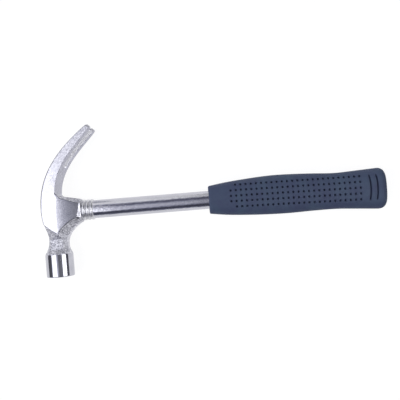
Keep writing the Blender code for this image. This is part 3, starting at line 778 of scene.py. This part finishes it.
def grip_ring(x, column=None, u=0.0, inset=0.0):
    """Ring of the grip at x, with its face points moved and sunk for dimples and grooves."""
    up, down, thick = (value - inset for value in grip_size(x))
    outer_row = HALF_ROWS + 0.5
    squeeze = min(1.0, FACE_SHARE * up / row_line(outer_row, x),
                  -FACE_SHARE * down / row_line(-outer_row, x))

    def face_point(row, v, side):
        dimpled = column is not None and has_dimple(row, column)
        warped_u, warped_v = dimple_warp(u, v) if dimpled else (u, v)
        place = x + DIMPLE_HALF_PITCH_X * (warped_u - u)
        row_y = row_line(row, place)
        half_row = (row_line(row + 1, place) - row_y) / 2
        y = (row_y + half_row * warped_v) * squeeze
        sink = groove_fall(x, y)
        if dimpled:
            sink += dimple_fall(math.hypot(DIMPLE_HALF_PITCH_X * warped_u, half_row * warped_v))
        z = profile_z(y, *(value - inset for value in grip_size(place))) - sink
        return Vector((place - groove_bend(x, y), y, side * z))

    lines = face_lines()
    upper = [face_point(row, v, 1) for row, v in lines]
    lower = [face_point(row, v, -1) for row, v in reversed(lines)]
    bottom = [Vector((x, y, z)) for y, z in side_points(upper[-1].y, down, thick, -1)]
    top = [Vector((x, y, z)) for y, z in reversed(side_points(upper[0].y, up, thick, 1))]
    return upper + bottom + lower + top


def grip_rings():
    """The grip from its chamfered front over dimples and grooves to its rounded butt."""
    rings = [grip_ring(GRIP_START_X + ahead, inset=inset) for ahead, inset in FRONT_CHAMFER[:-1]]
    rings += [grip_ring(x, column, u) for x, column, u in ring_stops()]
    for i in range(1, BUTT_RINGS + 1):
        turn = BUTT_TURN * i / BUTT_RINGS
        x = BUTT_START_X + BUTT_ROUNDING * math.sin(turn) / math.sin(BUTT_TURN)
        rings.append(grip_ring(x, inset=BUTT_ROUNDING * (1 - math.cos(turn))))
    return rings


def hollow_shade_share(point):
    """1 deep in a dimple or groove of the grip, 0 on its surface; it sets how much painted shade darkens
    the rubber.
    """
    share = groove_fall(point.x + GROOVE_BOW * point.y ** 2, point.y) / GROOVE_DEPTH
    column = round((point.x - DIMPLE_START_X) / DIMPLE_PITCH_X)
    if 0 <= column < DIMPLE_COLUMNS:
        centre_x = DIMPLE_START_X + DIMPLE_PITCH_X * column
        row = min(range(-HALF_ROWS, HALF_ROWS + 1), key=lambda r: abs(row_line(r, centre_x) - point.y))
        if has_dimple(row, column):
            distance = math.hypot(point.x - centre_x, point.y - row_line(row, centre_x))
            share = max(share, dimple_fall(distance) / DIMPLE_DEPTH)
    return share


def make_grip(finish):
    """Moulded sleeve, bored for the tube and closed at the butt."""
    grip = add_object(loft_mesh("moulded_grip", grip_rings()))
    cut(grip, rod_mesh("cut_bore", BORE_CUTTER_START_X, GRIP_BORE_END_X, TUBE_RADIUS + FIT_GAP))
    # The depth of the dimples and grooves is written on the mesh, to darken them as painted shade.
    paint(grip, "hollow_shade", "POINT", grip.data.vertices, lambda vertex: hollow_shade_share(in_hammer(vertex.co)))
    set_material(grip, finish)
    return grip


# ---- shader nodes ------------------------------
def set_inputs(tree, node, inputs):
    """Sets inputs of a node, by name or number, to values or links them to other outputs."""
    for key, value in inputs.items():
        if isinstance(value, bpy.types.NodeSocket):
            tree.links.new(value, node.inputs[key])
        else:
            node.inputs[key].default_value = value


def add_node(tree, kind, inputs=None, **settings):
    node = tree.nodes.new(kind)
    for name, value in settings.items():
        setattr(node, name, value)
    set_inputs(tree, node, inputs or {})
    return node


def new_material(name):
    result = bpy.data.materials.new(name)
    result.use_nodes = True
    return result, result.node_tree, result.node_tree.nodes["Principled BSDF"]


def ramp(tree, factor, stops):
    """Colour ramp of (position, colour) stops; a plain number is a grey."""
    node = add_node(tree, "ShaderNodeValToRGB", {"Fac": factor})
    elements = node.color_ramp.elements
    while len(elements) < len(stops):
        elements.new(1.0)
    for element, (position, color) in zip(elements, stops):
        element.position = position
        element.color = (*color, 1.0) if isinstance(color, tuple) else (color, color, color, 1.0)
    return node.outputs["Color"]


def noise(tree, vector, scale, detail=3.0, roughness=0.5):
    node = add_node(tree, "ShaderNodeTexNoise",
                    {"Vector": vector, "Scale": scale, "Detail": detail, "Roughness": roughness})
    return node.outputs["Fac"]


def math_node(tree, operation, first, second):
    return add_node(tree, "ShaderNodeMath", {0: first, 1: second}, operation=operation).outputs[0]


def mix_color(tree, factor, first, second, blend="MIX"):
    node = add_node(tree, "ShaderNodeMix", {"Factor": factor, 6: first, 7: second},
                    data_type="RGBA", blend_type=blend)
    return node.outputs[2]


def painted(tree, name):
    """Value that was painted on the mesh."""
    return add_node(tree, "ShaderNodeAttribute", attribute_name=name).outputs["Fac"]


def object_coordinates(tree, stretch=(1, 1, 1)):
    place = add_node(tree, "ShaderNodeTexCoord").outputs["Object"]
    return add_node(tree, "ShaderNodeMapping", {"Vector": place, "Scale": stretch}).outputs["Vector"]


def relief(tree, height, strength, distance):
    """Fine relief; distance is in metres."""
    node = add_node(tree, "ShaderNodeBump", {"Strength": strength, "Distance": distance, "Height": height})
    return node.outputs["Normal"]


# ---- materials ---------------------------------
def plated_forging():
    """Nickel-plated forging: bright turned poll, satin ground facets, grainy forged neck, with painted
    light on the slot walls and painted shade on the claw's concave side.
    """
    result, tree, shader = new_material("plated_forging")
    place = object_coordinates(tree)
    finish = painted(tree, "finish")
    cloud = noise(tree, place, 120.0, 4.0)
    grain = noise(tree, place, 1300.0, 4.0, 0.7)
    speckle = noise(tree, place, 620.0, 3.0, 0.7)

    tint = ramp(tree, cloud, [(0.3, (0.46, 0.46, 0.51)), (0.7, (0.53, 0.53, 0.58))])
    dots = ramp(tree, speckle, [(0.38, (0.27, 0.27, 0.31)), (0.50, (0.62, 0.62, 0.68)),
                                (0.62, (0.95, 0.95, 1.0))])
    dotted = ramp(tree, finish, [(POLISHED, 0.0), (GROUND, 0.08), (FORGED, 0.75)])
    # Painted light: the slot walls get a lighter colour as if light fell into the slot, over their sanded
    # speckle.
    sanded_and_lit_slot = ramp(tree, speckle, [(0.35, (0.66, 0.66, 0.69)), (0.55, (0.88, 0.88, 0.91))])
    in_the_slot = ramp(tree, finish, [(0.75, 0.0), (0.95, 1.0)])
    plate = mix_color(tree, in_the_slot, mix_color(tree, dotted, tint, dots), sanded_and_lit_slot)
    # Painted shade: the claw's concave side is darkened as if shadowed.
    concave_shade_tint = ramp(tree, speckle, [(0.35, (0.62, 0.62, 0.69)), (0.60, (0.78, 0.78, 0.85))])
    shaded = mix_color(tree, painted(tree, "inner"), plate, concave_shade_tint, "MULTIPLY")

    smooth = ramp(tree, finish, [(POLISHED, 0.07), (GROUND, 0.22), (0.5, 0.32), (FORGED, 0.42),
                                 (SANDED_AND_LIT, 0.60)])
    uneven = ramp(tree, speckle, [(0.3, 0.0), (0.8, 0.10)])
    rough = math_node(tree, "ADD", smooth, math_node(tree, "MULTIPLY", uneven, finish))

    pitted = math_node(tree, "ADD", grain, math_node(tree, "MULTIPLY", speckle, 2.0))
    pit_depth = ramp(tree, finish, [(POLISHED, 0.0), (GROUND, 0.06), (FORGED, 1.0)])
    pits = relief(tree, math_node(tree, "MULTIPLY", pitted, pit_depth), 0.8, 0.0003)
    set_inputs(tree, shader, {"Base Color": shaded, "Metallic": 1.0, "Roughness": rough, "Normal": pits})
    return result


def plated_tube():
    """Plated drawn tube: bright, with draw marks along its length, and satin on the beads."""
    result, tree, shader = new_material("plated_tube")
    along = object_coordinates(tree, (0.45, 1, 1))
    cloud = noise(tree, along, 160.0)
    mottle = noise(tree, along, 700.0, 3.0, 0.6)
    rolled = painted(tree, "rolled")
    bright = ramp(tree, cloud, [(0.3, (0.49, 0.49, 0.545)), (0.7, (0.56, 0.56, 0.61))])
    satin = ramp(tree, cloud, [(0.3, (0.62, 0.62, 0.65)), (0.7, (0.72, 0.72, 0.75))])
    smooth = ramp(tree, mottle, [(0.35, 0.10), (0.75, 0.26)])
    dull = math_node(tree, "MULTIPLY", rolled, 0.22)
    set_inputs(tree, shader, {
        "Base Color": mix_color(tree, rolled, bright, satin), "Metallic": 1.0,
        "Roughness": math_node(tree, "ADD", smooth, dull), "Normal": relief(tree, mottle, 0.5, 0.0002)})
    return result


def grip_rubber():
    """Matt slate-blue moulded rubber with a fine grain, with painted shade darkening its dimples and
    grooves.
    """
    result, tree, shader = new_material("grip_rubber")
    place = object_coordinates(tree)
    cloud = noise(tree, place, 70.0, 5.0, 0.6)
    grain = noise(tree, place, 1800.0, 2.0)
    tint = ramp(tree, cloud, [(0.3, (0.080, 0.098, 0.184)), (0.7, (0.095, 0.138, 0.216))])
    # Painted shade: the rubber turns nearly black deep in the dimples and grooves.
    set_inputs(tree, shader, {
        "Base Color": mix_color(tree, painted(tree, "hollow_shade"), tint, (0.014, 0.020, 0.050, 1)),
        "Metallic": 0.0, "Roughness": ramp(tree, grain, [(0.3, 0.58), (0.7, 0.72)]),
        "Specular IOR Level": 0.2, "Normal": relief(tree, grain, 0.35, 0.0001)})
    return result


def grained_material(name, metallic, grain_settings, colors, roughness, bumps, stretch=(1, 1, 1)):
    """Material whose colour, roughness and relief all follow one grain."""
    result, tree, shader = new_material(name)
    grain = noise(tree, object_coordinates(tree, stretch), *grain_settings)
    set_inputs(tree, shader, {
        "Base Color": ramp(tree, grain, colors), "Metallic": metallic,
        "Roughness": ramp(tree, grain, roughness), "Normal": relief(tree, grain, *bumps)})
    return result


def wedge_steel():
    """Plain steel of the wedge, dull and a little scaled."""
    return grained_material("wedge_steel", 1.0, (900.0, 4.0, 0.7),
                            [(0.3, (0.30, 0.30, 0.32)), (0.7, (0.48, 0.48, 0.50))],
                            [(0.3, 0.35), (0.8, 0.6)], (0.5, 0.0002))


def hardwood():
    """Hardwood dowel with its grain along the shaft."""
    return grained_material("hardwood", 0.0, (900.0, 5.0, 0.65),
                            [(0.3, (0.30, 0.17, 0.08)), (0.7, (0.55, 0.36, 0.19))],
                            [(0.3, 0.6), (0.7, 0.8)], (0.4, 0.0002), stretch=(0.06, 1, 1))


def plug_plastic():
    """Black moulded plastic."""
    return grained_material("plug_plastic", 0.0, (1200.0,),
                            [(0.3, (0.020, 0.020, 0.023)), (0.7, (0.035, 0.035, 0.040))],
                            [(0.3, 0.42), (0.7, 0.58)], (0.3, 0.0001))


# ---- floor, walls and lights -------------------
FLOOR_SIDE = 6.0         # in metres
FLOOR_DROP = 0.0001      # gap below the hammer, in metres
FLOOR_GLOW = 0.93

# Greys of the studio's walls by direction, at shares of the way from -Y to +Y and -X to +X.
WALLS_ALONG_Y = (
    (0.0, 0.50), (0.003, 0.30), (0.025, 0.10), (0.081, 0.08), (0.153, 0.17), (0.20, 0.45),
    (0.25, 0.62), (0.35, 0.70), (0.456, 0.70), (0.57, 0.46), (0.65, 0.20), (0.78, 0.15),
    (0.82, 0.30), (0.866, 0.80), (0.90, 1.15), (0.94, 1.10), (0.987, 1.0))
WALLS_ALONG_X = (
    (0.075, 0.2), (0.115, 1.0), (0.475, 1.0), (0.54, 0.35), (0.95, 0.4), (0.97, 0.2))
BACKDROP_COLOR = (0.92, 0.93, 0.95, 1)

# Centre in hammer coordinates, size along X and Y in metres, radiance, and whether the light
# also falls on matt surfaces or shows in the plating only.
SOFTBOXES = {
    "left_softbox": ((-694, -300, 1000), (0.99, 1.06), 1.95, True),
    "right_softbox": ((795, -185, 500), (0.89, 0.51), 2.6, False),
    "claw_softbox": ((-420, 480, 1000), (0.34, 0.50), 2.4, False),
    "bevel_softbox": ((540, 30, 1000), (0.34, 0.18), 5.0, False),
}


def in_frame(x, y, z):
    """Place in the frame of a point given in hammer coordinates."""
    return ORIGIN + Vector((x, y, z)) * MM


def pale_floor():
    """White paper sweep, lit from below as a light table is, so that shadows stay faint."""
    result, tree, shader = new_material("white_sweep")
    fibre = noise(tree, object_coordinates(tree), 60.0)
    set_inputs(tree, shader, {
        "Base Color": ramp(tree, fibre, [(0.3, 0.14), (0.7, 0.16)]), "Metallic": 0.0,
        "Roughness": 0.9, "Emission Color": (1, 1, 1, 1), "Emission Strength": FLOOR_GLOW})
    return result


def make_floor():
    bm = bmesh.new()
    bmesh.ops.create_grid(bm, x_segments=1, y_segments=1, size=FLOOR_SIDE / 2)
    mesh = bm_to_mesh("floor", bm)
    mesh.materials.append(pale_floor())
    floor = bpy.data.objects.new("floor", mesh)
    floor.location.z = cad_box[0][2] - FLOOR_DROP
    floor.visible_diffuse = False
    bpy.context.scene.collection.objects.link(floor)


def wall_color(grey):
    """Colour of the studio's walls: white where they are lit, bluer the darker they are."""
    blue = 1 - min(grey, 1.0)
    return (grey * (1 - 0.12 * blue), grey * (1 - 0.08 * blue), grey * (1 + 0.32 * blue))


def walls_along(tree, coordinate, stops):
    """Ramp over one coordinate of a direction, which runs from -1 to 1."""
    share = add_node(tree, "ShaderNodeMapRange", {"Value": coordinate, "From Min": -1.0})
    return ramp(tree, share.outputs["Result"], stops)


def make_world():
    """Pale studio walls, which the plating mirrors, and a plain backdrop."""
    world = bpy.data.worlds.new("studio")
    bpy.context.scene.world = world
    world.use_nodes = True
    tree = world.node_tree
    direction = add_node(tree, "ShaderNodeTexCoord").outputs["Generated"]
    parts = add_node(tree, "ShaderNodeSeparateXYZ", {"Vector": direction}).outputs
    lengthwise = walls_along(tree, parts["Y"], [(place, wall_color(grey)) for place, grey in WALLS_ALONG_Y])
    crosswise = walls_along(tree, parts["X"], WALLS_ALONG_X)
    walls = tree.nodes["Background"]
    set_inputs(tree, walls, {"Color": mix_color(tree, 1.0, lengthwise, crosswise, "MULTIPLY")})
    backdrop = add_node(tree, "ShaderNodeBackground", {"Color": BACKDROP_COLOR, "Strength": 1.0})
    seen_directly = add_node(tree, "ShaderNodeLightPath").outputs["Is Camera Ray"]
    chosen = add_node(tree, "ShaderNodeMixShader",
                      {0: seen_directly, 1: walls.outputs[0], 2: backdrop.outputs[0]})
    set_inputs(tree, tree.nodes["World Output"], {"Surface": chosen.outputs[0]})


def make_lights():
    """Softboxes of even brightness above the hammer, facing straight down."""
    for name, (place, (width, depth), radiance, on_matt_surfaces) in SOFTBOXES.items():
        light = bpy.data.lights.new(name, "AREA")
        light.shape = "RECTANGLE"
        light.size = width
        light.size_y = depth
        light.energy = radiance * width * depth * math.pi
        softbox = bpy.data.objects.new(name, light)
        softbox.location = in_frame(*place)
        softbox.visible_camera = False
        softbox.visible_diffuse = on_matt_surfaces
        bpy.context.scene.collection.objects.link(softbox)


# ---- camera ------------------------------------
CAMERA_PLACE = (135.9, -18.4, 456.5)     # in hammer coordinates, straight above the hammer
CAMERA_TURN = math.atan2(0.0811, 0.9967)     # from the shaft's axis, clockwise
CAMERA_LENS = 43.2       # in millimetres, on a sensor 36 mm wide
CAMERA_SHIFT_Y = 0.05


def make_camera():
    data = bpy.data.cameras.new("camera")
    data.lens = CAMERA_LENS
    data.sensor_width = 36.0
    data.shift_y = CAMERA_SHIFT_Y
    data.clip_start = 0.01
    camera = bpy.data.objects.new("camera", data)
    camera.location = in_frame(*CAMERA_PLACE)
    camera.rotation_euler = (0, 0, -CAMERA_TURN)
    bpy.context.scene.collection.objects.link(camera)
    bpy.context.scene.camera = camera


# ---- putting it together -----------------------
def place_piece(piece, node):
    """A fine mesh stands for its CAD node, and rides on the same body."""
    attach(piece, "root")
    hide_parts(node)


def finish_node(name, finish):
    """Better material on a CAD node that stays."""
    for material_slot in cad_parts[name].material_slots:
        material_slot.material = finish


place_piece(make_head(plated_forging()), "head")
place_piece(make_shaft(plated_tube()), "shaft_tube")
place_piece(make_grip(grip_rubber()), "grip")
finish_node("eye_wedge", wedge_steel())
finish_node("core_dowel", hardwood())
finish_node("butt_plug", plug_plastic())
make_floor()
make_world()
make_lights()
make_camera()
bpy.context.scene.view_settings.view_transform = "Standard"
